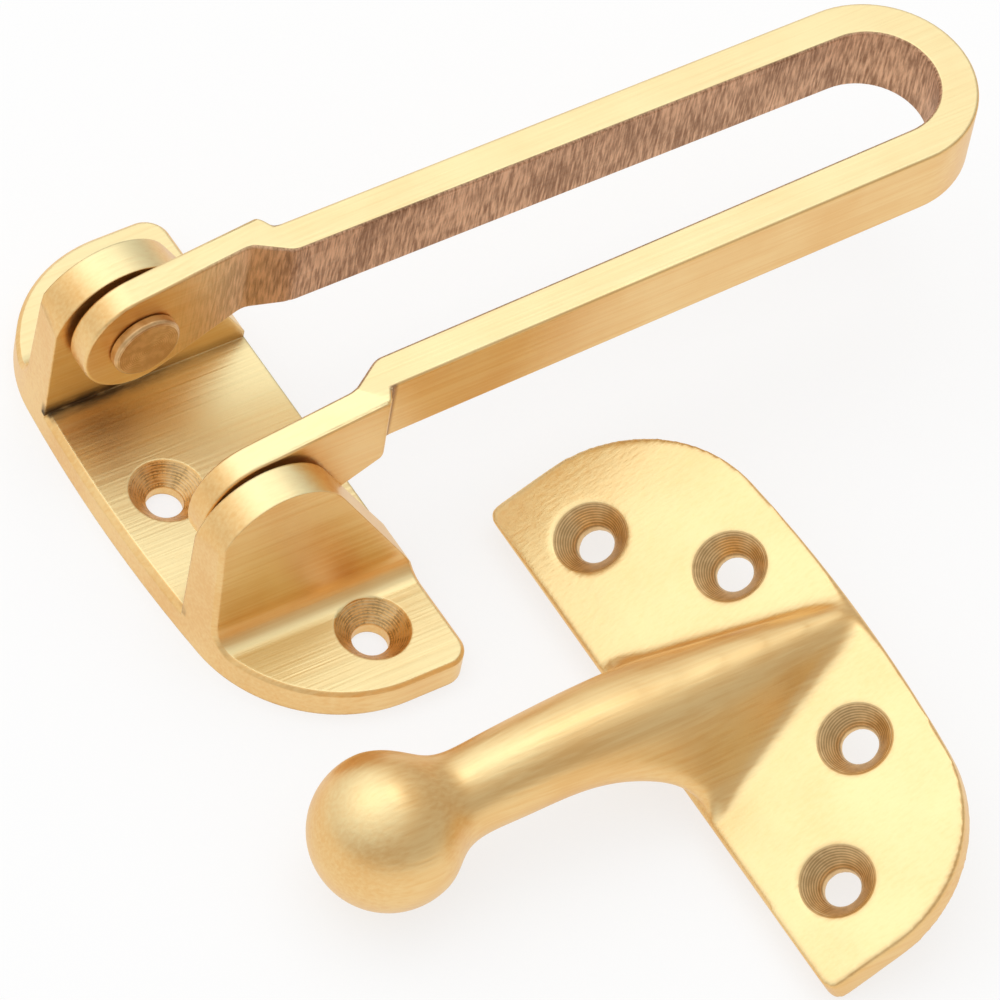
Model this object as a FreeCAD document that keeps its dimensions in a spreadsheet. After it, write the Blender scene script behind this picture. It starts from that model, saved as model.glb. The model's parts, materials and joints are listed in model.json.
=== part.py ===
import FreeCAD, Part
import os
import Sketcher

# Swing bar door guard: a frame bracket with a pivoting U-shaped bar, and a ball keeper for the door.
# Millimetres. The bracket's back lies on z = 0 with the straight edge of its plate on x = 0.

V = FreeCAD.Vector
doc = FreeCAD.newDocument("swing_bar_door_guard")

sheet = doc.addObject("Spreadsheet::Sheet", "sizes")
rows = [
    ("plate_length", 73.4, "bracket plate, end to end"),
    ("plate_depth", 28.0, "bracket plate, straight edge to the middle of the curved edge"),
    ("plate_thick", 3.8, "end lobes of the bracket"),
    ("floor_thick", 3.6, "milled floor between the ears"),
    ("corner_radius", 18.5, "large corners of both plates"),
    ("side_radius", 210.0, "slow bow of the curved edge"),
    ("nose_radius", 3.0, "corners at the ends of the straight edges"),
    ("rim_bevel", 0.45, "bevelled edges of the lobes"),
    ("floor_bevel", 0.7, "bevel along the floor's curved edge"),
    ("ear_gap", 32.0, "between the inner faces of the ears"),
    ("ear_thick", 4.2, "ear at its crown"),
    ("ear_lean", 3.5, "lean of the ear's outer face in degrees"),
    ("ear_height", 25.2, "back of the plate to the top of the ears"),
    ("crown_radius", 9.3, "round top of the ears"),
    ("crown_set", 9.7, "curved edge to the middle of the crown"),
    ("toe_height", 4.6, "where the ear's slope runs out at the straight edge"),
    ("cove_radius", 3.2, "hollow between ear and lobe"),
    ("pin_set", 9.8, "curved edge to the pivot axis"),
    ("pin_height", 17.6, "back of the plate to the pivot axis"),
    ("screw_radius", 2.25, "screw clearance holes"),
    ("sink_radius", 4.6, "countersinks"),
    ("end_hole_back", 8.6, "straight edge to the end holes"),
    ("end_hole_span", 56.0, "between the end holes"),
    ("mid_hole_set", 8.0, "curved edge to the middle hole"),
    ("pin_radius", 2.5, "pivot pin shank"),
    ("pin_seat", 3.2, "depth of the pin in the ear"),
    ("head_radius", 4.4, "pivot pin head"),
    ("head_thick", 1.5, "pivot pin head"),
    ("pin_chamfer", 0.4, "bevels at both ends of a pin"),
    ("pivot_clearance", 0.05, "running fit of the bar on the pin"),
    ("head_clearance", 0.1, "between the pin head and the eye"),
    ("eye_radius", 7.7, "round eyes of the bar"),
    ("eye_thick", 3.6, "eyes and straps of the bar"),
    ("eye_clearance", 0.7, "between an eye and its ear"),
    ("jog_start", 13.8, "pivot axis to the start of the step"),
    ("jog_length", 4.5, "length of the step"),
    ("jog_round", 3.0, "rounding at both ends of the step"),
    ("jog_top", 9.8, "top of the strap at the step"),
    ("jog_drop", 1.9, "strap below the pivot axis at the step"),
    ("leg_outer", 13.3, "middle to the outer face of a leg at the step"),
    ("leg_inner", 8.8, "middle to the inner face of a leg at the step"),
    ("leg_top", 9.7, "pivot axis to the top of the legs"),
    ("leg_height", 9.7, "legs, top to bottom"),
    ("bend_outer", 12.6, "outer radius of the loop's end"),
    ("bend_inner", 7.8, "inner radius of the loop's end"),
    ("bend_centre", 93.6, "pivot axis to the centre of the loop's end"),
    ("bar_lift", 1.3, "rise of the bar above level in degrees"),
    ("keeper_length", 76.0, "keeper plate, end to end"),
    ("keeper_depth", 28.3, "keeper plate, straight edge to the middle of the curved edge"),
    ("keeper_thick", 4.0, "keeper plate at the straight edge"),
    ("keeper_rim", 3.1, "keeper plate at the curved edge"),
    ("keeper_flat", 6.0, "straight edge to where the keeper's top begins to fall"),
    ("keeper_nose", 1.6, "corners at the ends of the keeper's straight edge"),
    ("outer_hole_in", 8.2, "straight edge to the outer pair of holes"),
    ("outer_hole_span", 54.4, "between the outer pair of holes"),
    ("inner_hole_in", 19.4, "straight edge to the inner pair of holes"),
    ("inner_hole_span", 27.4, "between the inner pair of holes"),
    ("ball_radius", 9.4, "ball of the keeper"),
    ("ball_reach", 29.8, "straight edge to the middle of the ball"),
    ("ball_height", 26.4, "back of the keeper to the middle of the ball"),
    ("ridge_inset", 0.9, "curved edge to the start of the ridge"),
    ("tip_foot", 2.2, "half width of the ridge's foot at its start"),
    ("tip_flank", 1.3, "half width of the ridge's flanks at its start"),
    ("tip_crest", 0.8, "half width of the ridge's crest at its start"),
    ("tip_low", 1.5, "back of the keeper to the underside of the ridge at its start"),
    ("tip_high", 4.0, "back of the keeper to the top of the ridge at its start"),
    ("arm_inset", 1.5, "straight edge to the section where the arm leaves the plate"),
    ("arm_bury", 5.4, "end of the arm, inside the ball, from the ball's middle"),
    ("arm_low", 2.7, "back of the keeper to the underside of the arm where it leaves the plate"),
    ("arm_high", 19.7, "back of the keeper to the top of the arm where it leaves the plate"),
    ("arm_hollow", 7.8, "hollow under the arm's root"),
    ("arm_climb", 0.56, "slope of the arm's top where it leaves the plate"),
    ("arm_bend", 0.0071, "loss of that slope along the arm"),
    ("arm_rise", 0.33, "slope of the arm's underside at the neck"),
    ("neck_foot", 4.1, "half width of the neck, low down"),
    ("neck_flank", 5.3, "half width of the neck at its middle"),
    ("neck_crest", 3.9, "half width of the neck, high up"),
    ("root_foot", 8.2, "added half width of the arm's root, low down"),
    ("root_flank", 2.3, "added half width of the arm's root at its middle"),
    ("root_crest", 1.0, "added half width of the arm's root, high up"),
    ("foot_share", 0.1, "rise of a section's foot for its half width"),
    ("crest_share", 0.4, "fall of a section's crest for its half width"),
    ("foot_run", 4.4, "length over which the root's foot dies away"),
    ("root_run", 8.0, "length over which the rest of the root dies away"),
    ("keeper_turn", -0.6, "turn of the keeper against the bracket, in degrees"),
    ("keeper_x", 13.96, "keeper's straight edge from the bracket's"),
    ("keeper_y", -57.05, "keeper's middle from the bracket's"),
    ("cut_margin", 6.0, "how far a cutting profile runs past the metal"),
]
for number, (alias, value, note) in enumerate(rows, start=1):
    sheet.set(f"A{number}", note)
    sheet.set(f"B{number}", str(value))
    sheet.setAlias(f"B{number}", alias)
doc.recompute()


def plane(body, role):
    return [(feature, "") for feature in body.Origin.OriginFeatures if feature.Role == role]


def sketch_on(body, name, role, offset=None):
    sketch = body.newObject("Sketcher::SketchObject", name)
    sketch.AttachmentSupport = plane(body, role)
    sketch.MapMode = "FlatFace"
    if offset:
        sketch.setExpression("AttachmentOffset.Base.z", offset)
    doc.recompute()
    return sketch


def bind(sketch, constraint, formula):
    index = sketch.addConstraint(constraint)
    if formula:
        sketch.setExpression(f"Constraints[{index}]", formula)


def lock(sketch, geo, pos, point):
    # A point is (x, y, formula for x, formula for y). A formula of "0" puts it on the axis.
    x, y, x_formula, y_formula = point
    if x_formula == "0":
        bind(sketch, Sketcher.Constraint("PointOnObject", geo, pos, -2), None)
    elif x_formula:
        bind(sketch, Sketcher.Constraint("DistanceX", geo, pos, x), x_formula)
    if y_formula == "0":
        bind(sketch, Sketcher.Constraint("PointOnObject", geo, pos, -1), None)
    elif y_formula:
        bind(sketch, Sketcher.Constraint("DistanceY", geo, pos, y), y_formula)


def outline(sketch, corners, bends=None, smooth=()):
    # Closed outline through the corners. A side named in bends is an arc through the given point,
    # and the sides meet without a break at each corner named in smooth.
    bends = bends or {}
    sides = []
    for i, corner in enumerate(corners):
        following = corners[(i + 1) % len(corners)]
        start = V(corner[0], corner[1], 0)
        end = V(following[0], following[1], 0)
        if i in bends:
            middle = V(bends[i][0], bends[i][1], 0)
            geo = sketch.addGeometry(Part.Arc(start, middle, end), False)
        else:
            geo = sketch.addGeometry(Part.LineSegment(start, end), False)
        first = 1 if (sketch.getPoint(geo, 1) - start).Length < 1e-4 else 2
        sides.append((geo, first, 3 - first))
    for i, (geo, first, last) in enumerate(sides):
        before, _, before_last = sides[i - 1]
        kind = "Tangent" if i in smooth else "Coincident"
        sketch.addConstraint(Sketcher.Constraint(kind, before, before_last, geo, first))
    for i, (geo, first, last) in enumerate(sides):
        lock(sketch, geo, first, corners[i])
        if i in bends and len(bends[i]) == 4:
            dot = sketch.addGeometry(Part.Point(V(bends[i][0], bends[i][1], 0)), True)
            sketch.addConstraint(Sketcher.Constraint("PointOnObject", dot, 1, geo))
            lock(sketch, dot, 1, bends[i])
    doc.recompute()
    return [geo for geo, first, last in sides]


def circles(sketch, radius, formula, centres):
    for centre in centres:
        middle = V(centre[0], centre[1], 0)
        geo = sketch.addGeometry(Part.Circle(middle, V(0, 0, 1), radius), False)
        bind(sketch, Sketcher.Constraint("Radius", geo, radius), formula)
        lock(sketch, geo, 3, centre)
    doc.recompute()


def feature(body, kind, name, profile, **settings):
    made = body.newObject("PartDesign::" + kind, name)
    made.Profile = profile
    for key, value in settings.items():
        setattr(made, key, value)
    return made


def through_cut(body, name, profile):
    made = feature(body, "Pocket", name, profile, SideType="Symmetric", Type="ThroughAll")
    doc.recompute()
    return made


def screw_holes(body, name, profile):
    holes = feature(body, "Hole", name, profile)
    holes.DepthType = "ThroughAll"
    holes.HoleCutType = "Countersink"
    holes.HoleCutCustomValues = True
    holes.HoleCutCountersinkAngle = 90
    holes.setExpression("Diameter", "2 * sizes.screw_radius")
    holes.setExpression("HoleCutDiameter", "2 * sizes.sink_radius")
    doc.recompute()
    return holes


def edges_where(shape, test):
    return [f"Edge{i}" for i, edge in enumerate(shape.Edges, start=1) if test(edge)]


def soften(body, name, size, test, kind="Fillet"):
    base = body.Tip
    made = body.newObject("PartDesign::" + kind, name)
    made.Base = (base, edges_where(base.Shape, test))
    made.setExpression("Radius" if kind == "Fillet" else "Size", size)
    doc.recompute()
    return made


def nose(edge):
    # Upright corner where the straight edge of a plate ends.
    box = edge.BoundBox
    return box.ZLength > 1 and max(box.YLength, abs(box.XMin), abs(box.XMax)) < 1e-4


def plate_outline(sketch, length, depth, side):
    # D-shaped plate: straight edge on the Y axis, curved edge on the given side of it.
    corners = [
        (0, -37, "0", f"-{length} / 2"),
        (0, 37, "0", f"{length} / 2"),
        (side * 9.5, 37, None, None),
        (side * 27.3, 19, None, None),
        (side * 27.3, -19, None, None),
        (side * 9.5, -37, None, None),
    ]
    bends = {2: (side * 22.6, 31.7), 3: (side * 28, 0), 4: (side * 22.6, -31.7)}
    sides = outline(sketch, corners, bends, smooth=(2, 3, 4, 5))
    bow = sides[3]
    bind(sketch, Sketcher.Constraint("Horizontal", sides[1]), None)
    bind(sketch, Sketcher.Constraint("Horizontal", sides[5]), None)
    bind(sketch, Sketcher.Constraint("PointOnObject", bow, 3, -1), None)
    bind(sketch, Sketcher.Constraint("Radius", bow, 210), "sizes.side_radius")
    centre = f"{side} * ({depth} - sizes.side_radius)"
    bind(sketch, Sketcher.Constraint("DistanceX", bow, 3, side * (28 - 210)), centre)
    for corner in (sides[2], sides[4]):
        bind(sketch, Sketcher.Constraint("Radius", corner, 18.5), "sizes.corner_radius")
    doc.recompute()


# Frame bracket: the plate's outline raised to ear height, then cut along Y and along X.
bracket = doc.addObject("PartDesign::Body", "frame_bracket")
blank = sketch_on(bracket, "bracket_outline", "XY_Plane")
plate_outline(blank, "sizes.plate_length", "sizes.plate_depth", -1)
pad = feature(bracket, "Pad", "bracket_blank", blank)
pad.setExpression("Length", "sizes.ear_height")
doc.recompute()

ears = sketch_on(bracket, "ear_profile", "XZ_Plane")
past = "sizes.cut_margin"
outline(ears, [
    (12, -12, f"2 * {past}", f"-2 * {past}"),
    (12, 32, f"2 * {past}", f"sizes.ear_height + {past}"),
    (-40, 32, f"-sizes.plate_depth - 2 * {past}", f"sizes.ear_height + {past}"),
    (-40, -12, f"-sizes.plate_depth - 2 * {past}", f"-2 * {past}"),
])
crown_back = "(sizes.plate_depth - sizes.crown_set)"
pin_back = "(sizes.plate_depth - sizes.pin_set)"
ear_side = f"-{crown_back} - sizes.crown_radius"
ear_lines = outline(ears, [
    (6, -6, past, f"-{past}"),
    (6, 4.6, past, "sizes.toe_height"),
    (0, 4.6, "0", "sizes.toe_height"),
    (-10.5, 20.9, None, None),
    (-27.6, 15.9, ear_side, "sizes.ear_height - sizes.crown_radius"),
    (-27.6, 3.8, ear_side, "sizes.plate_thick"),
    (-34, 3.8, f"-sizes.plate_depth - {past}", "sizes.plate_thick"),
    (-34, -6, f"-sizes.plate_depth - {past}", f"-{past}"),
], {3: (-18.3, 25.2, f"-{crown_back}", "sizes.ear_height")}, smooth=(3,))
bind(ears, Sketcher.Constraint("Radius", ear_lines[3], 9.3), "sizes.crown_radius")
doc.recompute()
through_cut(bracket, "ear_cut", ears)

lobe = sketch_on(bracket, "lobe_profile", "YZ_Plane")
lobe_lines = outline(lobe, [
    (43, 3.8, f"sizes.plate_length / 2 + {past}", "sizes.plate_thick"),
    (43, 31, f"sizes.plate_length / 2 + {past}", f"sizes.ear_height + {past}"),
    (19.9, 31, "sizes.ear_gap / 2 + sizes.ear_thick", f"sizes.ear_height + {past}"),
    (21.3, 6.8, None, None),
    (24.3, 3.8, None, "sizes.plate_thick"),
], {3: (22.2, 4.7)}, smooth=(3, 4))
bind(lobe, Sketcher.Constraint("Radius", lobe_lines[3], 3.2), "sizes.cove_radius")
bind(lobe, Sketcher.Constraint("Angle", lobe_lines[2], -1.51), "(sizes.ear_lean - 90) * 1 deg")
doc.recompute()
lobe_cut = through_cut(bracket, "lobe_cut", lobe)
both = bracket.newObject("PartDesign::Mirrored", "lobe_cut_both")
both.Originals = [lobe_cut]
both.MirrorPlane = (plane(bracket, "XZ_Plane")[0][0], [""])
bracket.Tip = both
doc.recompute()

channel = sketch_on(bracket, "channel_profile", "YZ_Plane")
outline(channel, [
    (-16, 3.6, "-sizes.ear_gap / 2", "sizes.floor_thick"),
    (16, 3.6, "sizes.ear_gap / 2", "sizes.floor_thick"),
    (16, 31, "sizes.ear_gap / 2", f"sizes.ear_height + {past}"),
    (-16, 31, "-sizes.ear_gap / 2", f"sizes.ear_height + {past}"),
])
through_cut(bracket, "channel", channel)


def plate_nose(edge):
    return nose(edge) and abs(edge.BoundBox.YMin) > sheet.ear_gap / 2 + sheet.ear_thick


def lobe_rim(edge):
    box = edge.BoundBox
    return max(abs(box.ZMin - sheet.plate_thick), abs(box.ZMax - sheet.plate_thick)) < 1e-4


def floor_rim(edge):
    # Curved edge of the floor, from ear to ear.
    box = edge.BoundBox
    level = max(abs(box.ZMin - sheet.floor_thick), abs(box.ZMax - sheet.floor_thick)) < 1e-4
    return level and box.XMax < -sheet.plate_depth / 2 and box.YLength > sheet.ear_gap / 2


soften(bracket, "bracket_noses", "sizes.nose_radius", plate_nose)
soften(bracket, "floor_bevel", "sizes.floor_bevel", floor_rim, "Chamfer")
soften(bracket, "lobe_bevels", "sizes.rim_bevel", lobe_rim, "Chamfer")

pin_seat = sketch_on(bracket, "pin_seat_circle", "XZ_Plane")
circles(pin_seat, 2.5, "sizes.pin_radius", [(-18.2, 17.6, f"-{pin_back}", "sizes.pin_height")])
seats = feature(bracket, "Pocket", "pin_seats", pin_seat, SideType="Symmetric")
seats.setExpression("Length", "sizes.ear_gap + 2 * sizes.pin_seat")
doc.recompute()

end_spots = sketch_on(bracket, "end_hole_spots", "XY_Plane", "sizes.plate_thick")
circles(end_spots, 2.2, "sizes.screw_radius", [
    (-8.6, 28, "-sizes.end_hole_back", "sizes.end_hole_span / 2"),
    (-8.6, -28, "-sizes.end_hole_back", "-sizes.end_hole_span / 2"),
])
screw_holes(bracket, "end_holes", end_spots)
mid_spot = sketch_on(bracket, "mid_hole_spot", "XY_Plane", "sizes.floor_thick")
circles(mid_spot, 2.2, "sizes.screw_radius", [(-20, 0, "sizes.mid_hole_set - sizes.plate_depth", "0")])
screw_holes(bracket, "mid_hole", mid_spot)

# Swing bar, drawn about its own pivot axis: plan and side view cut from one block.
bar = doc.addObject("PartDesign::Body", "swing_bar")
plan = sketch_on(bar, "bar_plan", "XY_Plane")
back = f"-sizes.eye_radius - {past}"
eye_outer = "(sizes.ear_gap / 2 - sizes.eye_clearance)"
eye_inner = f"({eye_outer} - sizes.eye_thick)"
jog_end = "sizes.jog_start + sizes.jog_length"
outline(plan, [
    (-13.7, 15.3, back, eye_outer),
    (13.8, 15.3, "sizes.jog_start", eye_outer),
    (18.3, 13.3, jog_end, "sizes.leg_outer"),
    (93.6, 12.6, "sizes.bend_centre", "sizes.bend_outer"),
    (93.6, -12.6, "sizes.bend_centre", "-sizes.bend_outer"),
    (18.3, -13.3, jog_end, "-sizes.leg_outer"),
    (13.8, -15.3, "sizes.jog_start", f"-{eye_outer}"),
    (-13.7, -15.3, back, f"-{eye_outer}"),
    (-13.7, -11.7, back, f"-{eye_inner}"),
    (13.8, -11.7, "sizes.jog_start", f"-{eye_inner}"),
    (18.3, -8.8, jog_end, "-sizes.leg_inner"),
    (93.6, -7.8, "sizes.bend_centre", "-sizes.bend_inner"),
    (93.6, 7.8, "sizes.bend_centre", "sizes.bend_inner"),
    (18.3, 8.8, jog_end, "sizes.leg_inner"),
    (13.8, 11.7, "sizes.jog_start", eye_inner),
    (-13.7, 11.7, back, eye_inner),
], {
    3: (106.2, 0, "sizes.bend_centre + sizes.bend_outer", "0"),
    11: (101.4, 0, "sizes.bend_centre + sizes.bend_inner", "0"),
})
block = feature(bar, "Pad", "bar_block", plan, SideType="Symmetric")
block.setExpression("Length", "4 * sizes.leg_top")
doc.recompute()


def step_corner(edge):
    # Upright edges at both ends of the steps from strap to leg.
    middle = edge.CenterOfMass
    ends = (sheet.jog_start, sheet.jog_start + sheet.jog_length)
    return edge.BoundBox.ZLength > sheet.leg_top and min(abs(middle.x - end) for end in ends) < 1e-3


soften(bar, "bar_steps", "sizes.jog_round", step_corner)

side = sketch_on(bar, "bar_side", "XZ_Plane")
reach = "sizes.bend_centre + sizes.bend_outer"
outline(side, [
    (-20, -26, f"-sizes.eye_radius - 2 * {past}", "-3 * sizes.leg_top"),
    (130, -26, f"{reach} + 2 * {past}", "-3 * sizes.leg_top"),
    (130, 26, f"{reach} + 2 * {past}", "3 * sizes.leg_top"),
    (-20, 26, f"-sizes.eye_radius - 2 * {past}", "3 * sizes.leg_top"),
])
side_lines = outline(side, [
    (-1, 7.6, None, None),
    (13.8, 9.8, "sizes.jog_start", "sizes.jog_top"),
    (18.3, 9.7, jog_end, "sizes.leg_top"),
    (112, 9.7, f"{reach} + {past}", "sizes.leg_top"),
    (112, 0, f"{reach} + {past}", "sizes.leg_top - sizes.leg_height"),
    (18.3, 0, jog_end, "sizes.leg_top - sizes.leg_height"),
    (13.8, -1.9, "sizes.jog_start", "-sizes.jog_drop"),
    (-3, -7.1, None, None),
], {7: (-7.7, 0.3)}, smooth=(0, 7))
bind(side, Sketcher.Constraint("Radius", side_lines[7], 7.7), "sizes.eye_radius")
bind(side, Sketcher.Constraint("Coincident", side_lines[7], 3, -1, 1), None)
doc.recompute()
through_cut(bar, "bar_side_cut", side)

bore = sketch_on(bar, "pivot_circle", "XZ_Plane")
circles(bore, 2.55, "sizes.pin_radius + sizes.pivot_clearance", [(0, 0, "0", "0")])
through_cut(bar, "pivot_bore", bore)
bar.setExpression("Placement.Base.x", f"-{pin_back}")
bar.setExpression("Placement.Base.z", "sizes.pin_height")
bar.setExpression("Placement.Rotation.Pitch", "-sizes.bar_lift * 1 deg")
doc.recompute()


def pivot_pin(name, turn):
    # Headed pin, turned about its own axis: head inside the eye, shank through it into the ear.
    pin = doc.addObject("PartDesign::Body", name)
    half = sketch_on(pin, name + "_half", "XY_Plane")
    under = f"{eye_inner} - sizes.head_clearance"
    tip = "sizes.ear_gap / 2 + sizes.pin_seat"
    outline(half, [
        (0, 10.1, "0", f"{under} - sizes.head_thick"),
        (4, 10.1, "sizes.head_radius - sizes.pin_chamfer", f"{under} - sizes.head_thick"),
        (4.4, 10.5, "sizes.head_radius", f"{under} - sizes.head_thick + sizes.pin_chamfer"),
        (4.4, 11.6, "sizes.head_radius", under),
        (2.5, 11.6, "sizes.pin_radius", under),
        (2.5, 18.8, "sizes.pin_radius", f"{tip} - sizes.pin_chamfer"),
        (2.1, 19.2, "sizes.pin_radius - sizes.pin_chamfer", tip),
        (0, 19.2, "0", tip),
    ])
    turned = feature(pin, "Revolution", name + "_turned", half)
    turned.ReferenceAxis = (half, ["V_Axis"])
    turned.Angle = 360
    pin.setExpression("Placement.Base.x", f"-{pin_back}")
    pin.setExpression("Placement.Base.z", "sizes.pin_height")
    pin.Placement.Rotation = FreeCAD.Rotation(V(0, 0, 1), turn)
    doc.recompute()
    return pin


pin_far = pivot_pin("pivot_pin_far", 0)
pin_near = pivot_pin("pivot_pin_near", 180)


# Ball keeper, drawn about the middle of its straight edge with its back on its own z = 0.
keeper = doc.addObject("PartDesign::Body", "ball_keeper")
keeper_blank = sketch_on(keeper, "keeper_outline", "XY_Plane")
plate_outline(keeper_blank, "sizes.keeper_length", "sizes.keeper_depth", 1)
keeper_pad = feature(keeper, "Pad", "keeper_plate", keeper_blank)
keeper_pad.setExpression("Length", "sizes.keeper_thick")
doc.recompute()

fall = sketch_on(keeper, "keeper_fall", "XZ_Plane")
outline(fall, [
    (6, 4, "sizes.keeper_flat", "sizes.keeper_thick"),
    (28.3, 3.1, "sizes.keeper_depth", "sizes.keeper_rim"),
    (34.3, 3.1, f"sizes.keeper_depth + {past}", "sizes.keeper_rim"),
    (34.3, 10, f"sizes.keeper_depth + {past}", f"sizes.keeper_thick + {past}"),
    (6, 10, "sizes.keeper_flat", f"sizes.keeper_thick + {past}"),
])
through_cut(keeper, "keeper_fall_cut", fall)
soften(keeper, "keeper_noses", "sizes.keeper_nose", nose)


def arm_section(name, station, guess, foot, flank, crest, low, high):
    # Four arcs about the middle plane: underside, two flanks and the crest. Each size is a formula,
    # and the guess is a rough section for the solver to start from.
    section = sketch_on(keeper, name, "YZ_Plane", station)
    foot_high = f"({low}) + ({foot}) * sizes.foot_share"
    crest_high = f"({high}) - ({crest}) * sizes.crest_share"
    flank_high = f"(({foot_high}) + ({crest_high})) / 2"
    foot_y, flank_y, crest_y, low_z, high_z = guess
    foot_z = low_z + 1
    crest_z = high_z - 2
    flank_z = (foot_z + crest_z) / 2
    outline(section, [
        (-foot_y, foot_z, f"-({foot})", foot_high),
        (foot_y, foot_z, foot, foot_high),
        (crest_y, crest_z, crest, crest_high),
        (-crest_y, crest_z, f"-({crest})", crest_high),
    ], {
        0: (0, low_z, "0", low),
        1: (flank_y, flank_z, flank, flank_high),
        2: (0, high_z, "0", high),
        3: (-flank_y, flank_z, f"-({flank})", flank_high),
    })
    return section


def ridge_section(share):
    # Between the curved edge (share 0) and the place where the arm leaves the plate (share 1).
    def between(tip, root):
        return f"sizes.{tip} + ({root} - sizes.{tip}) * {share}"

    run = "sizes.keeper_depth - sizes.ridge_inset"
    return arm_section(
        f"ridge_section_{round(share * 100)}",
        f"({run}) + (sizes.arm_inset - ({run})) * {share}",
        (8, 5.8, 4, 3, 15),
        between("tip_foot", "(sizes.neck_foot + sizes.root_foot)"),
        between("tip_flank", "(sizes.neck_flank + sizes.root_flank)"),
        between("tip_crest", "(sizes.neck_crest + sizes.root_crest)"),
        between("tip_low", "sizes.arm_low"),
        between("tip_high", "sizes.arm_high"),
    )


def neck_section(share):
    # From the plate (share 0) to the arm's end inside the ball (share 1), with a root that dies away.
    run = f"(sizes.arm_inset + sizes.ball_reach - sizes.arm_bury) * {share}"
    foot_left = f"exp(-({run}) / sizes.foot_run)"
    root_left = f"exp(-({run}) / sizes.root_run)"
    return arm_section(
        f"arm_section_{round(share * 100)}",
        f"sizes.arm_inset - {run}",
        (11, 7.2, 5, 4, 20) if share < 0.1 else (6, 6.7, 4.4, 11, 23),
        f"sizes.neck_foot + sizes.root_foot * {foot_left}",
        f"sizes.neck_flank + sizes.root_flank * {root_left}",
        f"sizes.neck_crest + sizes.root_crest * {root_left}",
        f"sizes.arm_low + sizes.arm_hollow * (1 - {foot_left}) + sizes.arm_rise * {run}",
        f"sizes.arm_high + sizes.arm_climb * {run} - sizes.arm_bend * ({run}) ^ 2",
    )


def loft(name, sections):
    made = keeper.newObject("PartDesign::AdditiveLoft", name)
    made.Profile = sections[0]
    made.Sections = sections[1:]
    doc.recompute()
    return made


ridge = [ridge_section(share) for share in (0, 0.7, 0.9)]
neck = [neck_section(share) for share in (0, 0.05, 0.14, 0.28, 0.52, 0.78, 1)]
loft("keeper_ridge", ridge[:2])
loft("keeper_arm", ridge[1:] + neck)

ball_half = sketch_on(keeper, "ball_half", "XZ_Plane")
outline(ball_half, [
    (-29, 33.9, "-sizes.ball_reach", "sizes.ball_height + sizes.ball_radius"),
    (-29, 14.9, "-sizes.ball_reach", "sizes.ball_height - sizes.ball_radius"),
], {1: (-38.5, 24.4, "-sizes.ball_reach - sizes.ball_radius", "sizes.ball_height")})
ball = feature(keeper, "Revolution", "keeper_ball", ball_half)
ball.ReferenceAxis = (ball_half, ["Edge1"])
ball.Angle = 360
doc.recompute()

outer_spots = sketch_on(keeper, "outer_hole_spots", "XY_Plane", "sizes.keeper_thick")
circles(outer_spots, 2.2, "sizes.screw_radius", [
    (8.2, 27.2, "sizes.outer_hole_in", "sizes.outer_hole_span / 2"),
    (8.2, -27.2, "sizes.outer_hole_in", "-sizes.outer_hole_span / 2"),
])
screw_holes(keeper, "outer_holes", outer_spots)
# The inner holes start level with the highest point of the falling top inside their countersinks.
inner_high = "sizes.inner_hole_in - sizes.sink_radius - sizes.keeper_flat"
fallen = f"({inner_high}) / (sizes.keeper_depth - sizes.keeper_flat)"
inner_top = f"sizes.keeper_thick - (sizes.keeper_thick - sizes.keeper_rim) * {fallen}"
inner_spots = sketch_on(keeper, "inner_hole_spots", "XY_Plane", inner_top)
circles(inner_spots, 2.2, "sizes.screw_radius", [
    (19.4, 13.7, "sizes.inner_hole_in", "sizes.inner_hole_span / 2"),
    (19.4, -13.7, "sizes.inner_hole_in", "-sizes.inner_hole_span / 2"),
])
screw_holes(keeper, "inner_holes", inner_spots)

# The ball outweighs the plate, so the loose keeper lies on the ball and its straight edge.
far = "sqrt(sizes.ball_height ^ 2 + sizes.ball_reach ^ 2)"
lean = f"acos(sizes.ball_radius / {far}) - atan(sizes.ball_reach / sizes.ball_height)"
keeper.setExpression("Placement.Base.x", "sizes.keeper_x")
keeper.setExpression("Placement.Base.y", "sizes.keeper_y")
keeper.setExpression("Placement.Rotation.Pitch", f"-({lean})")
keeper.setExpression("Placement.Rotation.Yaw", "sizes.keeper_turn * 1 deg")
doc.recompute()

pieces = [bracket, bar, pin_far, pin_near, keeper]
for item in doc.Objects:
    if "Invalid" in item.State or "Error" in item.State:
        raise RuntimeError(f"{item.Name} did not build: {item.State}")
os.makedirs("parts", exist_ok=True)
for piece in pieces:
    if piece.Shape.isNull() or not piece.Shape.isValid():
        raise RuntimeError(f"{piece.Name} has no valid shape")
    piece.Shape.exportStep(f"parts/{piece.Name}.step")
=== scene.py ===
import json
import math

import bmesh
import bpy
import numpy as np
from mathutils import Matrix, Vector

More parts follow.
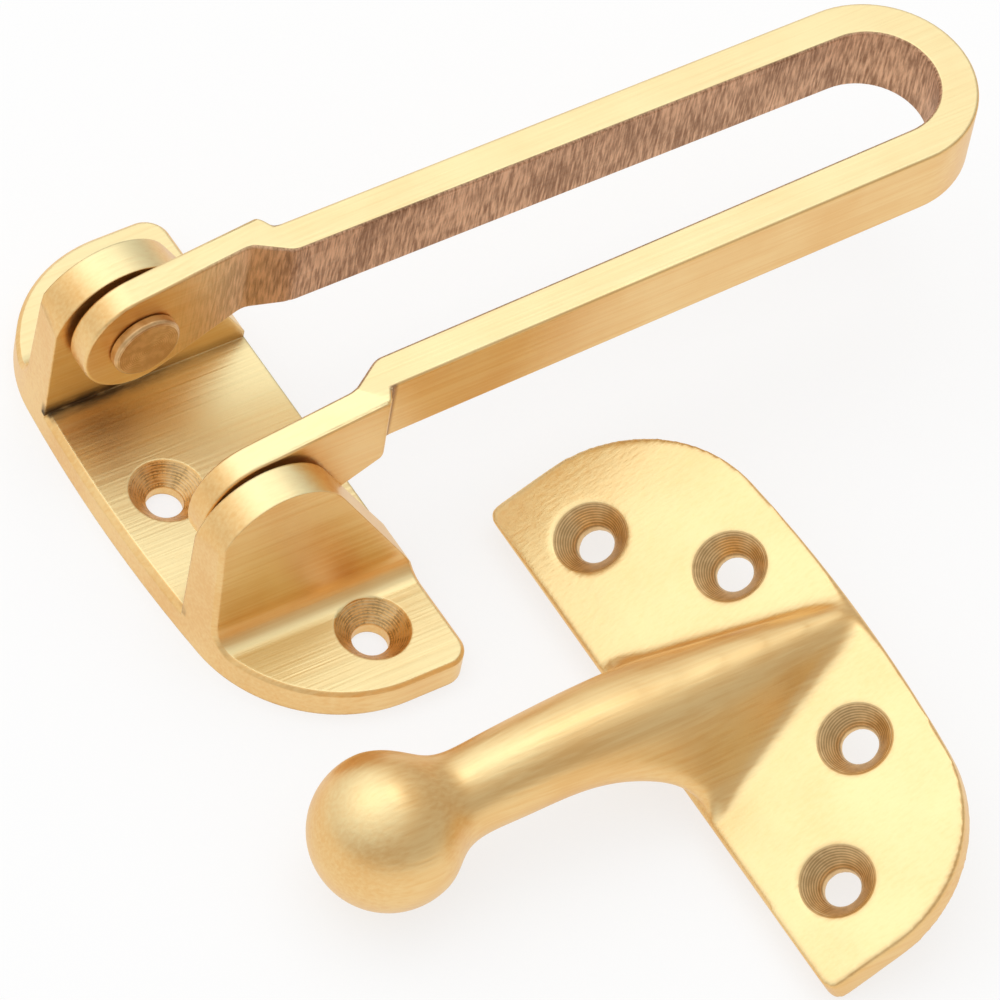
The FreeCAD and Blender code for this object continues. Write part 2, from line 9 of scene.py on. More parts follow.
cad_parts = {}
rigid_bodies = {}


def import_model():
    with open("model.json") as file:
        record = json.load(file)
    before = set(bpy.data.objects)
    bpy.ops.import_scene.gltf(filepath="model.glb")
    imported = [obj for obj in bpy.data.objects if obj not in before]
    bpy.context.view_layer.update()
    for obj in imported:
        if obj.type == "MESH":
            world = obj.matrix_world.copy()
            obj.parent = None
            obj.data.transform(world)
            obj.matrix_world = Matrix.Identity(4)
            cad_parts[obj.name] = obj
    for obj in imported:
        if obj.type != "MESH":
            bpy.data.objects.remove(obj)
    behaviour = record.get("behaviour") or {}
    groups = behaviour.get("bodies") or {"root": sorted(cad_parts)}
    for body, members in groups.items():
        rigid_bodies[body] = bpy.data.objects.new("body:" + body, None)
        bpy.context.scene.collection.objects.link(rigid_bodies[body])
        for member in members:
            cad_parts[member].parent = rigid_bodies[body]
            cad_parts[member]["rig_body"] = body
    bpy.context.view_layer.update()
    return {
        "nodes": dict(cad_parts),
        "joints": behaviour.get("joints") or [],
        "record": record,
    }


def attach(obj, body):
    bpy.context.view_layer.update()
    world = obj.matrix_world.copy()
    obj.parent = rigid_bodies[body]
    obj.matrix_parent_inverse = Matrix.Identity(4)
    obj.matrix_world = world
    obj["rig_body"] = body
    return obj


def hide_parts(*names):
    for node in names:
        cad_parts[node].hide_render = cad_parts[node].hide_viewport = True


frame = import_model()
nodes = frame["nodes"]
record = frame["record"]
print("frame loaded:", ", ".join(sorted(nodes)))

mm = 0.001


class Wire:
    # one socket of a node tree: sums and products of wires add Math nodes
    def __init__(self, tree, socket=None):
        self.tree = tree
        self.socket = socket

    def node(self, kind, settings=None, plugs=None, out=0):
        made = self.tree.nodes.new(kind if "Node" in kind else "ShaderNode" + kind)
        for key, value in (settings or {}).items():
            if key == "stops":
                fillRamp(made.color_ramp, value)
            else:
                setattr(made, key, value)
        for key, value in (plugs or {}).items():
            if isinstance(value, Wire):
                self.tree.links.new(value.socket, made.inputs[key])
            else:
                made.inputs[key].default_value = value
        return Wire(self.tree, made.outputs[out]) if len(made.outputs) else None

    def maths(self, operation, first, second=None, clamp=False):
        plugs = {0: first} if second is None else {0: first, 1: second}
        return self.node("Math", {"operation": operation, "use_clamp": clamp}, plugs)

    def __add__(self, other):
        return self.maths("ADD", self, other)

    def __radd__(self, other):
        return self.maths("ADD", other, self)

    def __sub__(self, other):
        return self.maths("SUBTRACT", self, other)

    def __rsub__(self, other):
        return self.maths("SUBTRACT", other, self)

    def __mul__(self, other):
        return self.maths("MULTIPLY", self, other)

    def __rmul__(self, other):
        return self.maths("MULTIPLY", other, self)


def fillRamp(ramp, stops):
    # stops are (place, colour) pairs, first to last
    while len(ramp.elements) > len(stops):
        ramp.elements.remove(ramp.elements[-1])
    while len(ramp.elements) < len(stops):
        ramp.elements.new(1.0)
    for element, (place, colour) in zip(ramp.elements, stops):
        element.position = place
        element.color = colour


def grey(value):
    return (value, value, value, 1.0)


def newTree(name):
    material = bpy.data.materials.new(name)
    material.use_nodes = True
    material.node_tree.nodes.clear()
    return material, Wire(material.node_tree)


def close(start, shader, name="OutputMaterial"):
    start.node(name, None, {"Surface": shader})


def mixColour(start, share, first, second):
    return start.node("Mix", {"data_type": "RGBA"}, {0: share, 6: first, 7: second}, out=2)


def ramp(start, value, low, high, unit=1.0):
    return start.node("MapRange", {"interpolation_type": "SMOOTHSTEP"}, {
        "Value": value, "From Min": low * unit, "From Max": high * unit, "To Min": 0.0, "To Max": 1.0,
    })


def noise(start, place, scales, turn=(0, 0, 0), detail=3.0):
    along = start.node("Mapping", None, {"Vector": place, "Rotation": turn, "Scale": scales})
    return start.node("TexNoise", None, {"Vector": along, "Scale": 1.0, "Detail": detail})


def evenNoise(start, place, scale):
    return noise(start, place, (scale, scale, scale))


def axes(start, vector):
    return [start.node("SeparateXYZ", None, {0: vector}, out=axis) for axis in (0, 1, 2)]


def vectorMaths(start, operation, first, second=(0, 0, 0), out="Vector"):
    return start.node("VectorMath", {"operation": operation}, {0: first, 1: second}, out=out)


def added(name, data):
    thing = bpy.data.objects.new(name, data)
    bpy.context.scene.collection.objects.link(thing)
    return thing


def settled(thing, name):
    # the plain mesh that an object's modifiers make; the object itself goes
    mesh = bpy.data.meshes.new_from_object(thing.evaluated_get(bpy.context.evaluated_depsgraph_get()))
    bpy.data.objects.remove(thing)
    mesh.name = name
    return mesh


def smoothShaded(mesh):
    mesh.polygons.foreach_set("use_smooth", np.ones(len(mesh.polygons), dtype=bool))


satinBrass = {
    "colour": (0.92, 0.64, 0.29, 1.0),
    "colourFrom": 0.6,       # shade from which the brass has its full colour
    "deepColour": (0.85, 0.52, 0.20, 1.0),
    "deepUpTo": 0.38,
    "paintedTopLightColour": (0.95, 0.81, 0.45, 1.0),   # painted highlight on faces that look up
    "paintedTopLightRun": (0.75, 0.98),
    "paintedTopLightLeast": 0.4,
    "paintedTopLightByShade": 1.2,
    "roughness": 0.38,
    "roughSpread": 0.2,
    "streakLength": 50.0,    # noise scale along the brushing
    "streakWidth": 2200.0,   # and across it
    "streakHeight": 1.5,
    "cloudScale": 90.0,
    "bumpHeight": 0.00006,
    "bumpStrength": 0.35,
    "bevelSamples": 6,
}


def brass(name, up=(0, 0, 1), turn=(0, 0, 0), dress=None, bevel=0.0, wave=2.5, paintedTopLightAmount=0.9):
    # brushed along X, with a painted highlight that makes it paler where it looks up, a little wavy from
    # hand work;
    # dress is a piece's own working of the surface
    s = satinBrass
    material, start = newTree(name)
    place = start.node("TexCoord", out="Object")
    normal = start.node("TexCoord", out="Normal")
    streaks = noise(start, place, (s["streakLength"], s["streakWidth"], s["streakWidth"]), turn)
    cloud = evenNoise(start, place, s["cloudScale"])
    shade = (streaks + cloud) * 0.5
    stops = [(s["deepUpTo"], s["deepColour"]), (s["colourFrom"], s["colour"])]
    colour = start.node("ValToRGB", {"stops": stops}, {"Fac": shade})
    facing = vectorMaths(start, "DOT_PRODUCT", normal, up, out="Value")
    # painted highlight: faces that look up are mixed towards a paler colour
    paintedTopLight = ramp(start, facing, *s["paintedTopLightRun"]) * (paintedTopLightAmount * (s["paintedTopLightLeast"] + shade * s["paintedTopLightByShade"]))
    colour = mixColour(start, paintedTopLight, colour, s["paintedTopLightColour"])
    rough = s["roughness"] + (streaks - 0.5) * s["roughSpread"]
    height = streaks * s["streakHeight"] + cloud * wave
    if dress:
        colour, rough, height = dress(start, place, normal, colour, rough, height)
    plugs = {"Strength": s["bumpStrength"], "Distance": s["bumpHeight"], "Height": height}
    if bevel:
        plugs["Normal"] = start.node("Bevel", {"samples": s["bevelSamples"]}, {"Radius": bevel * mm})
    shader = start.node("BsdfPrincipled", None, {
        "Base Color": colour, "Metallic": 1.0, "Roughness": rough, "Normal": start.node("Bump", None, plugs),
    })
    close(start, shader)
    return material


casting = {
    "weld": 0.002,           # mm, corners closer than this become one
    "flatDegrees": 0.2,      # facets this close to level become one face
    "sharpDegrees": 32.0,
    "segments": 3,
    "bevels": {"swing_bar": 0.45, "pivot_pin_far": 0.2, "pivot_pin_near": 0.2},  # mm
}


def weldedMesh(name, source, flatDegrees=0.0):
    work = bmesh.new()
    corners = [work.verts.new(vertex.co) for vertex in source.vertices]
    for polygon in source.polygons:
        face = work.faces.new([corners[i] for i in polygon.vertices])
        face.smooth = True
    bmesh.ops.remove_doubles(work, verts=work.verts, dist=casting["weld"] * mm)
    if flatDegrees:
        flat = math.radians(flatDegrees)
        bmesh.ops.dissolve_limit(work, angle_limit=flat, verts=work.verts, edges=work.edges)
    mesh = bpy.data.meshes.new(name)
    work.to_mesh(mesh)
    work.free()
    return mesh


def placePiece(node, mesh, material):
    # a finished copy that takes the CAD node's place
    mesh.materials.append(material)
    piece = added(node + "Casting", mesh)
    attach(piece, nodes[node]["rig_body"])
    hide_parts(node)
    return piece


def makeSoftEdged(node, material, reshape=None):
    mesh = weldedMesh(node + "Casting", nodes[node].data, casting["flatDegrees"])
    if reshape:
        reshape(mesh)
    sharp = math.radians(casting["sharpDegrees"])
    mesh.set_sharp_from_angle(angle=sharp)
    soft = placePiece(node, mesh, material).modifiers.new("softEdges", "BEVEL")
    soft.width = casting["bevels"][node] * mm
    soft.segments = casting["segments"]
    soft.limit_method = "ANGLE"
    soft.angle_limit = sharp
    soft.use_clamp_overlap = False
    soft.harden_normals = True


filed = {
    "darkToneAndShadeColour": (0.38, 0.21, 0.12, 1.0),
    "lightColour": (0.86, 0.56, 0.36, 1.0),
    "toneRun": (0.38, 0.72),
    "roughness": 0.62,
    "scratchAcross": 3400.0,
    "scratchAlong": 420.0,
    "scratchDetail": 4.0,
    "scratchShare": 0.75,
    "scratchHeight": 3.0,
    "patchScale": 160.0,
    "patchShare": 0.35,
    "lean": 0.35,            # radians, the file's stroke against upright
    "roughRun": (-18.0, 1.5),   # mm, smooth at the eye and rough from the step outwards
    "bendX": 75.4,           # middle of the loop's end
    "wallRun": (1.5, 5.0),   # mm, how far a wall faces towards the middle line
}

# painted shade along the step's outer corner; it uses the file's dark tone
paintedStepShade = {
    "x": -0.3,               # mm, the outer corner of the step
    "width": (0.2, 0.8),
    "inner": (12.9, 13.2),   # from the middle of the bar
    "outer": (13.8, 14.6),
    "share": 0.8,
}


def fileDress(start, place, normal, colour, rough, height):
    # the slot's walls are left rough from the file: they face the slot's own middle line
    f = filed
    x, y = axes(start, place)[:2]
    nx, ny = axes(start, normal)[:2]
    past = start.maths("MAXIMUM", x - f["bendX"] * mm, 0.0)
    outwards = nx * past + ny * y
    wall = ramp(start, 0.0 - outwards, *f["wallRun"], mm) * ramp(start, x, *f["roughRun"], mm)
    scales = (f["scratchAcross"], f["scratchAcross"], f["scratchAlong"])
    scratch = noise(start, place, scales, (0, f["lean"], 0), f["scratchDetail"])
    patches = evenNoise(start, place, f["patchScale"])
    worn = ramp(start, scratch * f["scratchShare"] + patches * f["patchShare"], *f["toneRun"])
    stroke = mixColour(start, worn, f["darkToneAndShadeColour"], f["lightColour"])
    # painted shade: a dark line in the outer corner of the step, where the groove's shadow falls
    aside = start.maths("ABSOLUTE", y)
    away = start.maths("ABSOLUTE", x - paintedStepShade["x"] * mm)
    stepShadeBand = ramp(start, aside, *paintedStepShade["inner"], mm) * (1 - ramp(start, aside, *paintedStepShade["outer"], mm))
    stepShade = (1 - ramp(start, away, *paintedStepShade["width"], mm)) * stepShadeBand * paintedStepShade["share"]
    colour = mixColour(start, stepShade, colour, f["darkToneAndShadeColour"])
    return (
        mixColour(start, wall, colour, stroke),
        rough + wall * (f["roughness"] - satinBrass["roughness"]),
        height + wall * (scratch - height) * f["scratchHeight"],
    )


barStep = {
    "start": -5.3,           # mm, the outer corner of the step, from here
    "end": -3.7,             # to here
    "face": 15.3,            # outer faces of the straps from the middle
    "depth": 0.4,
    "shift": 3.1,            # the corner moves this far towards the leg
    "slope": 0.45,           # along the strap's rising underside
    "rounder": 5.0,
    "middle": 22.0,          # height that parts upper corners from lower ones
    "top": 27.71,
}


def squareStep(mesh):
    # the strap keeps its full width up to a rounded shoulder close to the leg
    b = barStep
    for vertex in mesh.vertices:
        x, y, z = vertex.co / mm
        deep = b["face"] - abs(y)
        if b["start"] < x < b["end"] and deep < b["depth"]:
            y = math.copysign(b["face"] - deep * b["rounder"], y)
            z = b["top"] if z > b["middle"] else z + b["shift"] * b["slope"]
            vertex.co = Vector((x + b["shift"], y, z)) * mm


turned = {
    "colour": (0.62, 0.37, 0.16, 1.0),
    "edgeColour": (0.80, 0.53, 0.26, 1.0),
    "toneRun": (0.45, 0.75),
    "roughness": 0.4,
    "roughSpread": 0.3,
    "blotchScale": 700.0,
    "ringShare": 0.15,
    "ringsPerMetre": 26000.0,
}


def latheRings(start, away):
    return start.maths("SINE", away * turned["ringsPerMetre"]) * 0.5 + 0.5


def pinDress(start, place, normal, colour, rough, height):
    # lathe rings about the pivot axis
    t = turned
    axis = frame["joints"][0]["pos_m"]
    flat = vectorMaths(start, "MULTIPLY", place, (1, 0, 1))
    away = vectorMaths(start, "DISTANCE", flat, (axis[0], 0.0, axis[2]), out="Value")
    rings = latheRings(start, away)
    blotch = evenNoise(start, place, t["blotchScale"])
    worn = ramp(start, blotch + rings * t["ringShare"], *t["toneRun"])
    tone = mixColour(start, worn, t["colour"], t["edgeColour"])
    return tone, t["roughness"] + (blotch - 0.5) * t["roughSpread"], rings


def mountNamed(name):
    return next(mount for mount in record["mounts"] if mount["name"] == name)


def sinkSpots(names):
    # where each screw's wall ends and its cone begins, with the way out
    for name in names:
        mount = mountNamed(name)
        out = Vector(mount["axis"])
        middle = Vector(mount["pos_m"])
        wall = mount["dims"].get("length_mm")
        top = middle + out * (wall * mm / 2 if wall else middle.dot(out))
        apart = mount["dims"].get("spacing_y_mm", 0) * mm
        for side in ((-0.5, 0.5) if apart else (0,)):
            yield top + Vector((0, side * apart, 0)), out


keeperShape = {
    "grain": 0.34,           # mm between the corners of the new mesh
    "edgePasses": 7,         # evens out the grain on the plate's edges
    "passes": 220,
    "pull": 0.5,
    "holeInset": 8.2,        # mm, straight edge to the outer pair of holes
    "tipFoot": 2.2,          # half widths of the ridge's foot, at the curved edge and at the straight one
    "rootFoot": 12.3,
    "ridgeRun": 27.4,
    "tipCrest": (0.8, 3.7),  # half width and height of the crest, at the same two places
    "rootCrest": (4.9, 17.6),
    "ridgeLow": 2.4,
    "rootInset": 1.5,
    "plateTop": 4.05,        # at the straight edge; below the top the plate is left as it is
    "fallFrom": 6.0,         # mm from the straight edge, and the fall for each mm after it
    "fall": 0.0404,
    "cove": 1.3,             # above the top the flanks are drawn smooth over this rise
    "crispRun": (4.0, 20.0),    # the crest keeps its edge from here towards the tip
    "crispShare": 0.93,
    "meltRun": (1.5, 6.0),   # and the foot sinks into the plate
    "meltReach": 4.0,
    "meltShare": 0.16,
    "armFrom": -0.2,         # past the straight edge all of it is drawn smooth
    "ballRun": (-28.0, -22.0),  # the neck flows into the ball between these two
}

keeperScrews = [
    mount["name"] for mount in record["mounts"]
    if mount["kind"] == "bore" and mount["name"].startswith("keeper")
]


def keeperFrame():
    # the keeper's own axes: x across the plate from its straight edge, y along that edge, z out of the door
    far = Vector(mountNamed("keeper_outer_screw_far")["pos_m"])
    near = Vector(mountNamed("keeper_outer_screw_near")["pos_m"])
    out = Vector(mountNamed("keeper_outer_screw_far")["axis"]).normalized()
    along = (far - near).normalized()
    across = along.cross(out)
    back = Vector(mountNamed("keeper_back")["pos_m"])
    middle = (far + near) / 2 - across * keeperShape["holeInset"] * mm
    return middle - out * (middle - back).dot(out), across, along, out


def fade(values, low, high):
    share = np.clip((values - low) / (high - low), 0, 1)
    return share * share * (3 - 2 * share)


def addRidge(mesh):
    # fills the flanks of the ridge to straight lines from its tip to the arm's root
    k = keeperShape
    origin, across, along, out = keeperFrame()
    tip = (k["ridgeRun"], k["tipFoot"], *k["tipCrest"])
    root = (k["rootInset"], k["rootFoot"], *k["rootCrest"])
    work = bmesh.new()
    for x, foot, crest, high in (tip, root):
        for side in (-1, 1):
            for half, rise in ((foot, k["ridgeLow"]), (crest, high)):
                work.verts.new(origin + (across * x + along * side * half + out * rise) * mm)
    bmesh.ops.convex_hull(work, input=work.verts)
    work.from_mesh(mesh)
    work.to_mesh(mesh)
    work.free()


def smoothingShares(places):
    # how far each corner of the keeper follows its neighbours
    k = keeperShape
    origin, across, along, out = keeperFrame()
    x, y, z = [(places - np.array(origin)) @ np.array(axis) / mm for axis in (across, along, out)]
    crisp = k["crispShare"] * fade(x, *k["crispRun"])
    above = z - k["plateTop"] + k["fall"] * np.maximum(x - k["fallFrom"], 0)
    onRidge = fade(above, 0, k["cove"]) * (1 - crisp)
    foot = k["rootFoot"] + (k["tipFoot"] - k["rootFoot"]) * np.clip(x / k["ridgeRun"], 0, 1)
    nearFoot = fade(x, *k["meltRun"]) * fade(foot + k["meltReach"] - abs(y), 0, k["meltReach"])
    atFoot = nearFoot * fade(above, -k["cove"], 0) * k["meltShare"]
    return np.where(x < k["armFrom"], fade(x, *k["ballRun"]), np.maximum(onRidge, atFoot))


def makeKeeper(material):
    # one flowing casting: ridge, arm, neck and plate drawn into each other, the plate's edges left alone
    k = keeperShape
    start = weldedMesh("keeperBlank", nodes["ball_keeper"].data)
    addRidge(start)
    blank = added("keeperBlank", start)
    grain = blank.modifiers.new("evenGrain", "REMESH")
    grain.mode = "VOXEL"
    grain.voxel_size = k["grain"] * mm
    mesh = settled(blank, "ball_keeperCasting")
    count = len(mesh.vertices)
    places = np.empty(count * 3)
    mesh.vertices.foreach_get("co", places)
    places = places.reshape(-1, 3)
    pairs = np.empty(len(mesh.edges) * 2, dtype=int)
    mesh.edges.foreach_get("vertices", pairs)
    first, second = pairs.reshape(-1, 2).T
    ends = np.concatenate([first, second])
    others = np.concatenate([second, first])
    valence = np.bincount(ends, minlength=count)[:, None]
    shares = smoothingShares(places)[:, None]
    for step in range(k["edgePasses"] + k["passes"]):
        sums = [np.bincount(ends, places[others, axis], count) for axis in range(3)]
        move = np.stack(sums, 1) / valence - places
        places = places + move * k["pull"] * (1 if step < k["edgePasses"] else shares)
    mesh.vertices.foreach_set("co", places.ravel())
    smoothShaded(mesh)
    mesh.update()
    placePiece("ball_keeper", mesh, material)
    print("keeper drawn smooth:", count, "corners")


keeperFinish = {
    "wave": 5.0,
    # how much painted highlight the keeper's upward faces get
    "paintedTopLightAmount": 0.6,
    "sinkDarkToneAndShade": (0.50, 0.32, 0.14, 1.0),
    "sinkLight": (0.84, 0.58, 0.29, 1.0),
    "sinkRun": (4.3, 4.6),   # mm from the screw's axis, where the countersink ends
    "toneRun": (0.3, 0.75),
    "grainScale": 900.0,
    "grainShare": 0.6,
    "ringShare": 0.4,
    "ringHeight": 0.3,
}


def keeperDress(start, place, normal, colour, rough, height):
    # lathe rings in the countersinks, about each screw's own axis; the cones run darker than the plate,
    # partly random tone and partly painted shade in the hollow
    k = keeperFinish
    away = 1.0
    for spot, out in sinkSpots(keeperScrews):
        arm = vectorMaths(start, "SUBTRACT", place, spot)
        square = vectorMaths(start, "CROSS_PRODUCT", arm, out)
        away = start.maths("MINIMUM", vectorMaths(start, "LENGTH", square, out="Value"), away)
    inside = 1 - ramp(start, away, *k["sinkRun"], mm)
    rings = latheRings(start, away)
    grain = evenNoise(start, place, k["grainScale"])
    worn = ramp(start, grain * k["grainShare"] + rings * k["ringShare"], *k["toneRun"])
    cone = mixColour(start, worn, k["sinkDarkToneAndShade"], k["sinkLight"])
    return (
        mixColour(start, inside, colour, cone),
        rough + inside * (turned["roughness"] - satinBrass["roughness"]),
        height + inside * (rings * k["ringHeight"] - height),
    )


def keeperBrass():
    k = keeperFinish
    up = keeperFrame()[3]
    lean = (0, math.atan2(up.x, up.z), 0)
    return brass("keeperBrass", tuple(up), lean, keeperDress, wave=k["wave"], paintedTopLightAmount=k["paintedTopLightAmount"])


# painted shade at the feet of the ears, dark and a little rougher
paintedEarShade = {
    "colour": (0.13, 0.08, 0.04, 1.0),
    "roughness": 0.6,
    "corner": (13.8, 16.0),  # mm from the middle, growing towards the ear's inner face
    "inEar": (16.5, 17.0),   # and gone here
    "rise": (3.6, 5.8),      # up the ear from the floor
    "edge": (3.2, 3.5),      # none below the floor's own edge
    "nearShare": 0.35,       # the near ear's foot gets less painted shade
    "acrossMiddle": (-5.0, 5.0),
    "shadeFadeRun": (-18.0, -7.0),  # less painted shade towards the straight edge
    "shadeFadeShare": 0.7,
    "patchScales": (260, 900, 900),
    "patchRun": (0.3, 0.6),
    "patchShare": 0.55,
}


def bracketShadeDress(start, place, normal, colour, rough, height):
    # painted shade in the corners at the feet of the ears, where their shadow falls
    g = paintedEarShade
    x, y, z = axes(start, place)
    aside = start.maths("ABSOLUTE", y)
    corner = ramp(start, aside, *g["corner"], mm) * (1 - ramp(start, aside, *g["inEar"], mm))
    low = (1 - ramp(start, z, *g["rise"], mm)) * ramp(start, z, *g["edge"], mm)
    far = g["nearShare"] + ramp(start, y, *g["acrossMiddle"], mm) * (1 - g["nearShare"])
    left = 1 - ramp(start, x, *g["shadeFadeRun"], mm) * g["shadeFadeShare"]
    patches = ramp(start, noise(start, place, g["patchScales"]), *g["patchRun"])
    earFootShade = corner * low * far * left * (1 - g["patchShare"] + patches * g["patchShare"])
    return (
        mixColour(start, earFootShade, colour, g["colour"]),
        rough + earFootShade * (g["roughness"] - satinBrass["roughness"]),
        height,
    )


rimCut = {
    "mounts": ["bracket_end_screws"],
    "radius": 4.6,           # mm, at the lobe's top
    "lobeTop": 3.8,
    "low": 3.3,
    "high": 5.5,
    "steps": 96,
    "edgeLook": 0.35,        # mm, rounding of the casting's edges in the shading
}


def rimCutter():
    c = rimCut
    work = bmesh.new()
    for spot, out in sinkSpots(c["mounts"]):
        middle = Vector((spot.x, spot.y, (c["low"] + c["high"]) / 2 * mm))
        bmesh.ops.create_cone(
            work, cap_ends=True, segments=c["steps"],
            radius1=(c["radius"] + c["low"] - c["lobeTop"]) * mm, radius2=c["radius"] * mm,
            depth=(c["high"] - c["low"]) * mm, matrix=Matrix.Translation(middle),
        )
    cutter = bpy.data.meshes.new("rimCutter")
    work.to_mesh(cutter)
    work.free()
    return added("rimCutter", cutter)


def makeBracket(material):
    # the end countersinks keep a full rim where they meet the hollow at the ear
    cutter = rimCutter()
    blank = added("bracketBlank", weldedMesh("bracketBlank", nodes["frame_bracket"].data))
    cut = blank.modifiers.new("rimCut", "BOOLEAN")
    cut.operation = "DIFFERENCE"
    cut.object = cutter
    mesh = settled(blank, "frame_bracketCasting")
    bpy.data.objects.remove(cutter)
    smoothShaded(mesh)
    mesh.set_sharp_from_angle(angle=math.radians(casting["sharpDegrees"]))
    even = placePiece("frame_bracket", mesh, material).modifiers.new("evenShade", "WEIGHTED_NORMAL")
    even.keep_sharp = True
    print("bracket rims cut:", len(mesh.polygons), "faces")


pinBrass = brass("pinBrass", dress=pinDress)
makeBracket(brass("bracketBrass", dress=bracketShadeDress, bevel=rimCut["edgeLook"]))
makeSoftEdged("swing_bar", brass("barBrass", dress=fileDress), squareStep)
makeSoftEdged("pivot_pin_far", pinBrass)
makeSoftEdged("pivot_pin_near", pinBrass)
makeKeeper(keeperBrass())
print("castings finished")


# the turned cones' random tone runs darker than the casting, partly painted shade in the hollow
sinks = {
    "mounts": ["bracket_end_screws", "bracket_middle_screw"],
    "slot": "bracket_brass",
    "darkToneAndShadeColour": (0.50, 0.32, 0.14, 1.0),
    "lightColour": (0.84, 0.58, 0.29, 1.0),
    "toneRun": (0.35, 0.65),
    "grainScale": 900.0,
    "roughness": 0.28,
    "roughSpread": 0.12,
    "wallRadius": 2.3,       # mm
    "rimRadius": 4.4,
    "rings": 8.0,
    "ringHeight": 0.014,
    "finePitch": 1.7,        # a finer ring on top, against the main one
    "fineShare": 0.5,
    "lift": 0.06,            # above the casting's own cone
    "steps": 96,             # around the cone, and up it
    "rises": 65,
    "weld": 0.001,
}


def sinkTree():
    # a ridged cone on every point, square to the point's own way
    tree = bpy.data.node_groups.new("turnedSinks", "GeometryNodeTree")
    tree.interface.new_socket("Geometry", in_out="OUTPUT", socket_type="NodeSocketGeometry")
    tree.interface.new_socket("Geometry", in_out="INPUT", socket_type="NodeSocketGeometry")
    for name in ("Wall Radius", "Rim Radius", "Rings", "Ring Height", "Lift"):
        tree.interface.new_socket(name, in_out="INPUT", socket_type="NodeSocketFloat")
    tree.interface.new_socket("Steps", in_out="INPUT", socket_type="NodeSocketInt")
    tree.interface.new_socket("Material", in_out="INPUT", socket_type="NodeSocketMaterial")
    start = Wire(tree)
    given = {
        item.name: start.node("NodeGroupInput", out=item.name)
        for item in tree.interface.items_tree if item.in_out == "INPUT"
    }
    wall = given["Wall Radius"]
    sheet = start.node("GeometryNodeMeshGrid", None, {
        "Size X": 1.0, "Size Y": 1.0, "Vertices X": sinks["rises"], "Vertices Y": given["Steps"],
    })
    acrossSheet, alongSheet = axes(start, start.node("GeometryNodeInputPosition"))[:2]
    share = acrossSheet + 0.5
    turn = (alongSheet + 0.5) * math.tau
    radius = wall + (given["Rim Radius"] - wall) * share
    wave = share * given["Rings"] * math.tau
    fine = start.maths("SINE", wave * sinks["finePitch"]) * sinks["fineShare"]
    ridge = (start.maths("SINE", wave) + fine) * given["Ring Height"]
    cone = start.node("CombineXYZ", None, {
        "X": radius * start.maths("COSINE", turn),
        "Y": radius * start.maths("SINE", turn),
        "Z": radius - wall + given["Lift"] + ridge,
    })
    shaped = start.node("GeometryNodeSetPosition", None, {"Geometry": sheet, "Position": cone})
    joined = start.node("GeometryNodeMergeByDistance", None, {
        "Geometry": shaped, "Distance": sinks["weld"] * mm,
    })
    smooth = start.node("GeometryNodeSetShadeSmooth", None, {"Geometry": joined})
    way = start.node("GeometryNodeInputNamedAttribute", {"data_type": "FLOAT_VECTOR"}, {"Name": "way"})
    aim = start.node("FunctionNodeAlignRotationToVector", {"axis": "Z"}, {"Vector": way})
    placed = start.node("GeometryNodeInstanceOnPoints", None, {
        "Points": given["Geometry"], "Instance": smooth, "Rotation": aim,
    })
    real = start.node("GeometryNodeRealizeInstances", None, {"Geometry": placed})
    start.node("NodeGroupOutput", None, {
        0: start.node("GeometryNodeSetMaterial", None, {"Geometry": real, "Material": given["Material"]}),
    })
    return tree


def sinkBrass():
    material, start = newTree("turnedBrass")
    grain = evenNoise(start, start.node("TexCoord", out="Object"), sinks["grainScale"])
    worn = ramp(start, grain, *sinks["toneRun"])
    close(start, start.node("BsdfPrincipled", None, {
        "Base Color": mixColour(start, worn, sinks["darkToneAndShadeColour"], sinks["lightColour"]),
        "Metallic": 1.0,
        "Roughness": sinks["roughness"] + grain * sinks["roughSpread"],
    }))
    return material


def makeSinks():
    spots = list(sinkSpots(sinks["mounts"]))
    points = bpy.data.meshes.new("bracketSinksPoints")
    points.from_pydata([spot for spot, out in spots], [], [])
    ways = points.attributes.new("way", "FLOAT_VECTOR", "POINT")
    for item, (spot, out) in zip(ways.data, spots):
        item.vector = out
    holder = added("bracketSinksPoints", points)
    tree = sinkTree()
    lathe = holder.modifiers.new("turnedSinks", "NODES")
    lathe.node_group = tree
    values = {
        "Wall Radius": sinks["wallRadius"] * mm,
        "Rim Radius": sinks["rimRadius"] * mm,
        "Rings": sinks["rings"],
        "Ring Height": sinks["ringHeight"] * mm,
        "Lift": sinks["lift"] * mm,
        "Steps": sinks["steps"],
        "Material": sinkBrass(),
    }
    for item in tree.interface.items_tree:
        if item.in_out == "INPUT" and item.name in values:
            lathe[item.identifier] = values[item.name]
    mesh = settled(holder, "bracketSinks")
    piece = added("bracketSinks", mesh)
    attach(piece, "bracket")
    print("bracket countersinks turned:", len(spots), "with", len(mesh.polygons), "faces")


makeSinks()


stage = {
    "size": 3.0,
    "floorColour": grey(0.92),
    "floorGlow": 1.045,
    "shadowShare": 0.3,
    "dim": 0.58,             # light from behind the camera
    "bright": 1.12,          # light from above and beyond the object
    "brightWay": (-0.25, 0.45, 0.85),
    "brightRun": (0.2, 1.0),
    "lampTarget": (0.02, -0.03, 0),
}

softboxes = {
    "overheadSoftbox": {"spot": (-0.25, 0.3, 0.75), "size": 0.6, "power": 0.34},
    "highSoftbox": {"spot": (0.27, 0.18, 0.84), "size": 0.4, "power": 0.34},
}


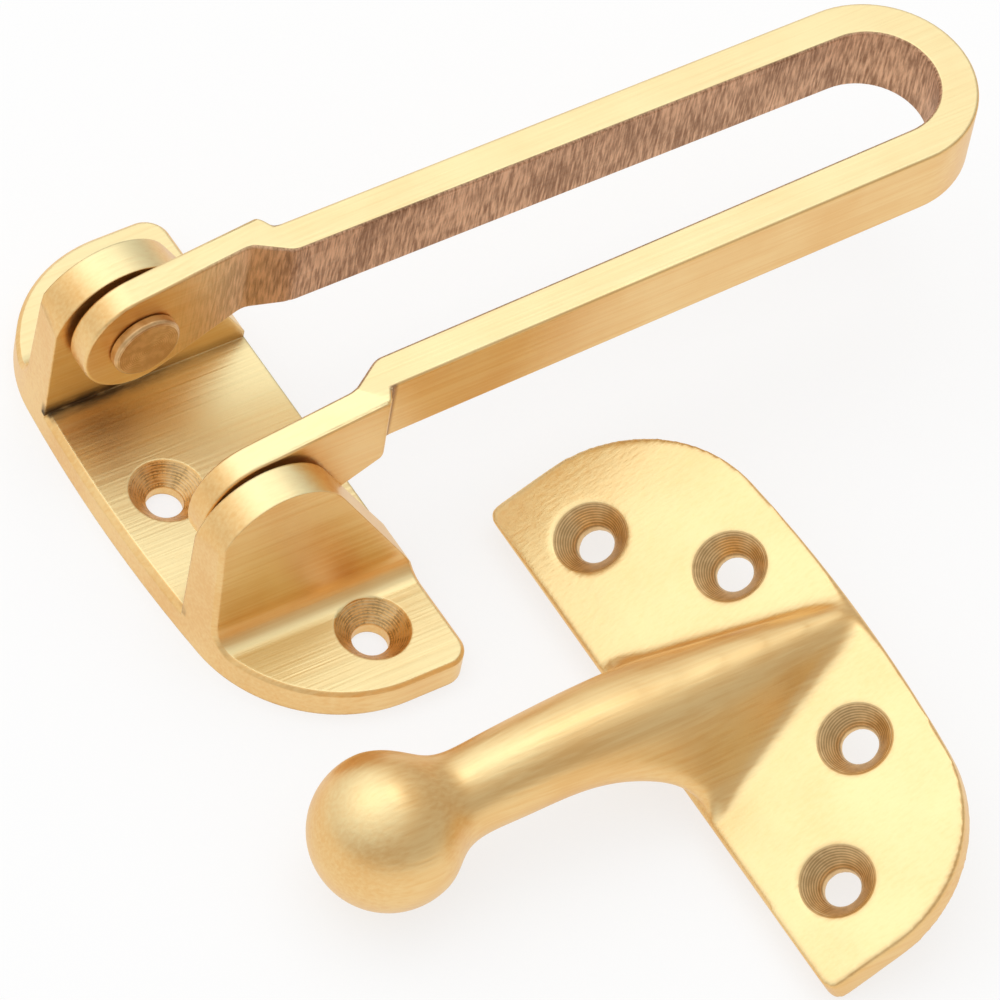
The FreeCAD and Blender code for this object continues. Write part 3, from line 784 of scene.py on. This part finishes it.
def makeFloor():
    half = stage["size"] / 2
    corners = [(-half, -half, 0), (half, -half, 0), (half, half, 0), (-half, half, 0)]
    mesh = bpy.data.meshes.new("floor")
    mesh.from_pydata(corners, [], [(0, 1, 2, 3)])
    floor = added("floor", mesh)
    material, start = newTree("paleFloor")
    seen = start.node("LightPath", out="Is Camera Ray") + start.node("LightPath", out="Is Glossy Ray")
    matt = start.node("BsdfDiffuse", None, {"Color": stage["floorColour"]})
    lit = start.node("Emission", None, {"Color": grey(1.0), "Strength": stage["floorGlow"]})
    share = start.maths("MULTIPLY", seen, 1 - stage["shadowShare"], clamp=True)
    close(start, start.node("MixShader", None, {0: share, 1: matt, 2: lit}))
    mesh.materials.append(material)


def makeWorld():
    world = bpy.data.worlds.new("studio")
    bpy.context.scene.world = world
    world.use_nodes = True
    world.node_tree.nodes.clear()
    start = Wire(world.node_tree)
    brightWay = tuple(Vector(stage["brightWay"]).normalized())
    around = start.node("TexCoord", out="Generated")
    facing = vectorMaths(start, "DOT_PRODUCT", around, brightWay, out="Value")
    level = stage["dim"] + ramp(start, facing, *stage["brightRun"]) * (stage["bright"] - stage["dim"])
    seen = start.node("LightPath", out="Is Camera Ray")
    strength = level * (1 - seen) + seen
    light = start.node("Background", None, {"Color": grey(1.0), "Strength": strength})
    close(start, light, "OutputWorld")


camera = {
    "azimuth": -41.56,
    "elevation": 51.39,
    "roll": 12.49,
    "right": 22.6,           # mm from the frame's origin to the picture's middle
    "up": -5.82,
    "away": 1045.0,
    "focalPixels": 8840.0,
    "framePixels": 1000.0,
    "sensor": 36.0,
    "clip": (0.05, 20.0),
}


def cameraWays():
    turn = math.radians(camera["azimuth"])
    rise = math.radians(camera["elevation"])
    roll = math.radians(camera["roll"])
    back = Vector((math.sin(turn) * math.cos(rise), -math.cos(turn) * math.cos(rise), math.sin(rise)))
    right = Vector((math.cos(turn), math.sin(turn), 0))
    up = back.cross(right)
    rolledRight = right * math.cos(roll) + up * math.sin(roll)
    rolledUp = up * math.cos(roll) - right * math.sin(roll)
    return rolledRight, rolledUp, back


def makeCamera():
    right, up, back = cameraWays()
    lens = bpy.data.cameras.new("photoCamera")
    lens.sensor_fit = "HORIZONTAL"
    lens.sensor_width = camera["sensor"]
    lens.lens = camera["sensor"] * camera["focalPixels"] / camera["framePixels"]
    lens.clip_start, lens.clip_end = camera["clip"]
    holder = added("photoCamera", lens)
    spot = (right * camera["right"] + up * camera["up"] + back * camera["away"]) * mm
    holder.matrix_world = Matrix.Translation(spot) @ Matrix((right, up, back)).transposed().to_4x4()
    bpy.context.scene.camera = holder


def makeSoftbox(name, spot, size, power):
    lamp = bpy.data.lights.new(name, "AREA")
    lamp.shape = "DISK"
    lamp.size = size
    lamp.energy = power
    way = Vector(spot) - Vector(stage["lampTarget"])
    turn = way.to_track_quat("Z", "Y").to_matrix().to_4x4()
    added(name, lamp).matrix_world = Matrix.Translation(spot) @ turn


makeFloor()
makeWorld()
makeCamera()
for name, values in softboxes.items():
    makeSoftbox(name, **values)
bpy.context.scene.view_settings.view_transform = "Standard"
print("stage, light and camera set")
